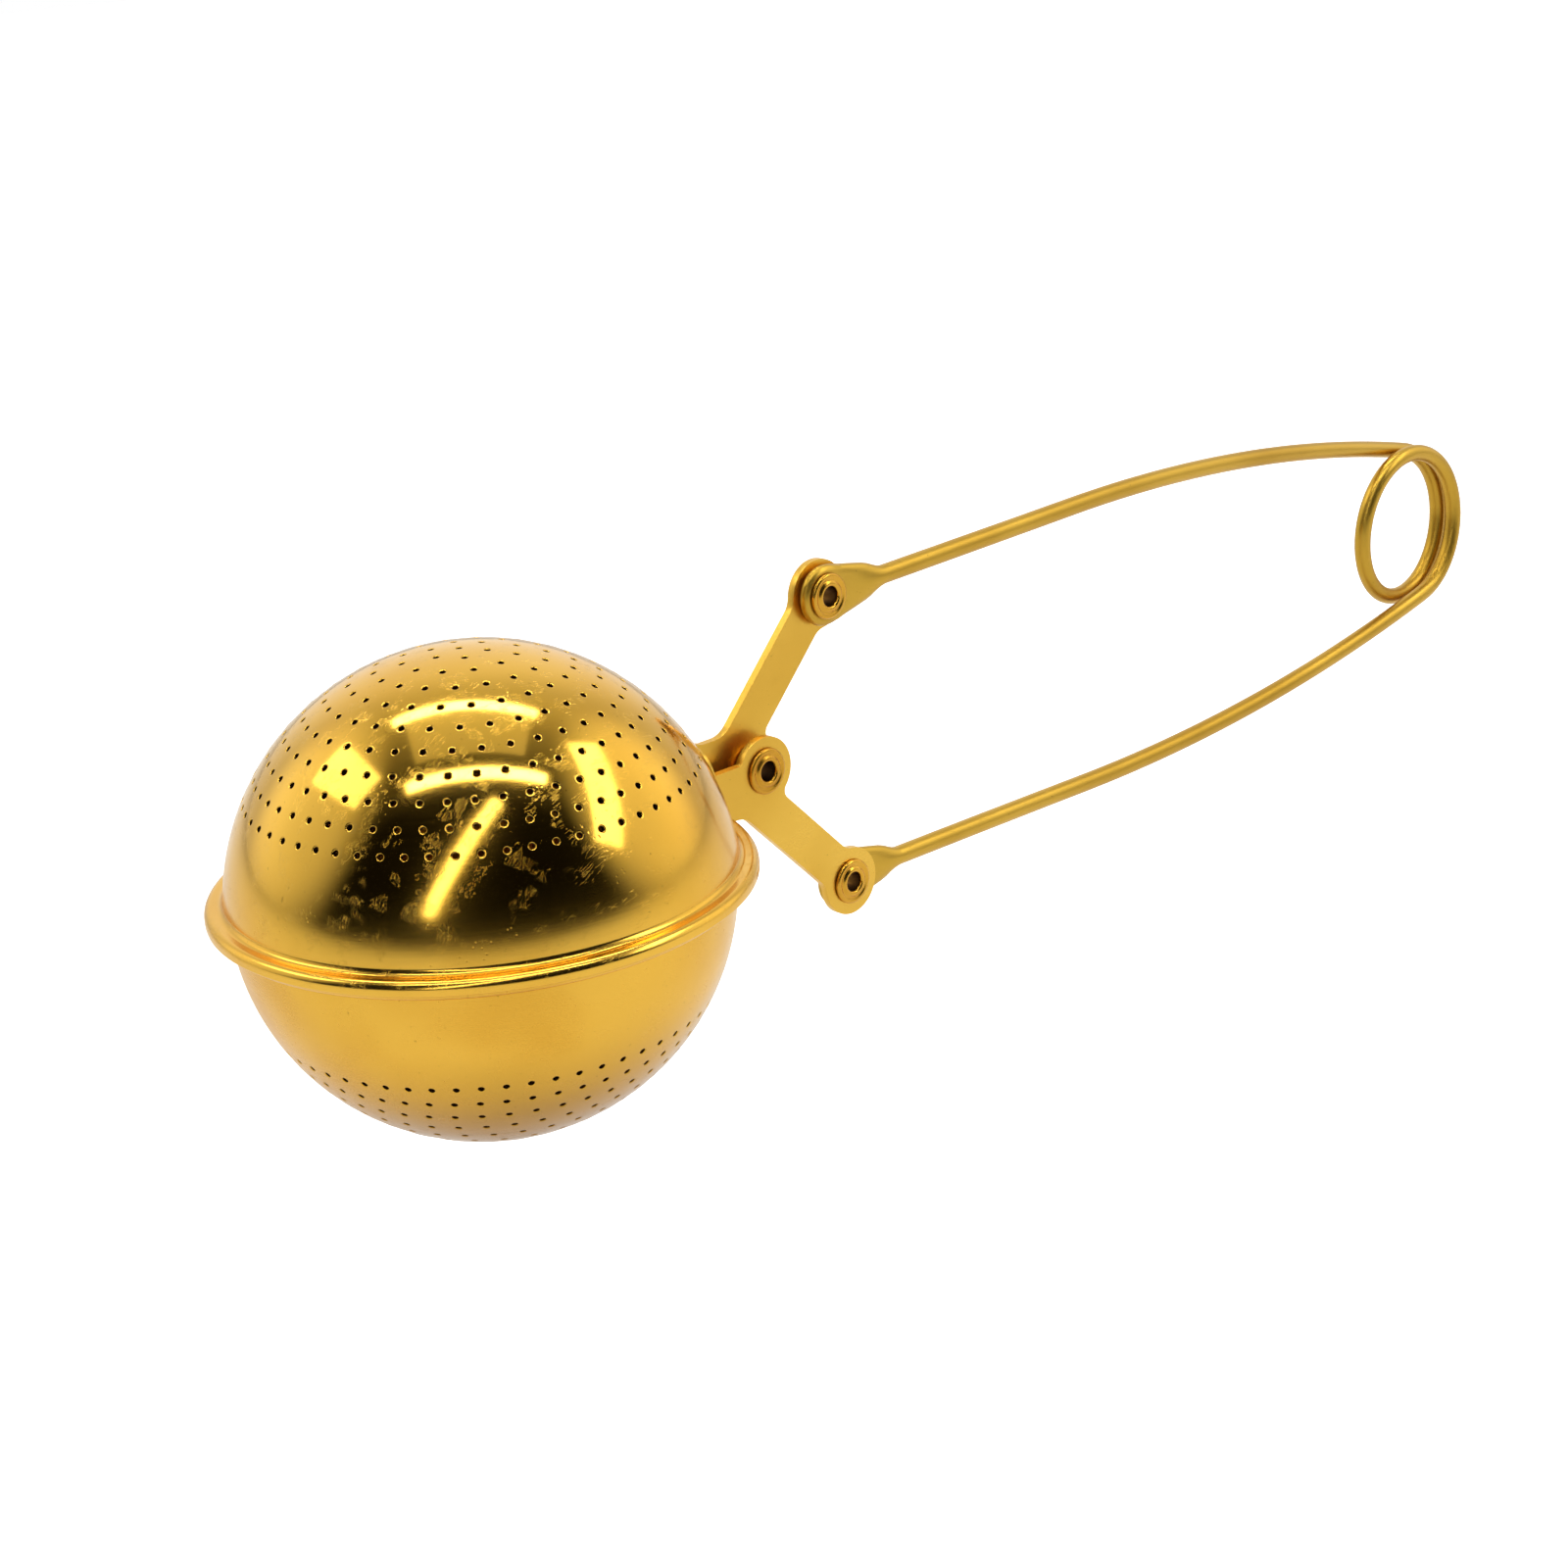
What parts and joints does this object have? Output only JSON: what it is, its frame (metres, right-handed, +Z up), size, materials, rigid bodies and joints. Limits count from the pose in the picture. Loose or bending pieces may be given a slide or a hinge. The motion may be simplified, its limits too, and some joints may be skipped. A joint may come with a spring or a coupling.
{
  "type": "snap-ball tea infuser",
  "caption": "Perforated two-piece ball on scissor levers, opened by squeezing a long bowed spring-wire handle that ends in a coil.",
  "frame": {"origin": "centre of the closed ball, on the bowls' common axis", "axes": "+X along the handle from the ball to the coil, +Z up through the upper bowl's pole and square to the seam, +Y towards the upper bowl's lever; every hinge runs along Y"},
  "size_m": [0.1749, 0.048, 0.0437],
  "materials": {
    "polished_gold": "polished, titanium-gold coated stainless steel",
    "satin_gold": "satin, titanium-gold coated stainless steel",
    "spring_gold": "satin drawn wire, titanium-gold coated"
  },
  "bodies": {
    "lower_jaw": {"lower_bowl": "polished_gold", "lower_lever": "satin_gold", "lower_rivet": "satin_gold", "pivot_rivet": "satin_gold"},
    "upper_jaw": {"upper_bowl": "polished_gold", "upper_lever": "satin_gold", "upper_rivet": "satin_gold"},
    "lower_arm": {"lower_spring_arm": "spring_gold"},
    "upper_arm": {"upper_spring_arm": "spring_gold"}
  },
  "joints": [
    {"name": "jaw_pivot", "type": "hinge", "parent": "lower_jaw", "child": "upper_jaw", "pos_m": [0.0328, 0, 0.0017], "axis": [0, 1, 0], "range_deg": [0, 50], "stiffness_Nm_per_rad": 0.04, "springref_deg": -34.38},
    {"name": "lower_arm_pivot", "type": "hinge", "parent": "lower_jaw", "child": "lower_arm", "pos_m": [0.0432, 0, -0.0128], "axis": [0, 1, 0], "range_deg": [0, 28.5]},
    {"name": "coil_flex", "type": "hinge", "parent": "lower_arm", "child": "upper_arm", "pos_m": [0.1412, 0, 0.0017], "axis": [0, 1, 0], "range_deg": [-6.6, 0]}
  ],
  "couplings": [
    {"joint": "lower_arm_pivot", "follows": "jaw_pivot", "ratio": 0.5648},
    {"joint": "coil_flex", "follows": "jaw_pivot", "ratio": -0.1296}
  ]
}
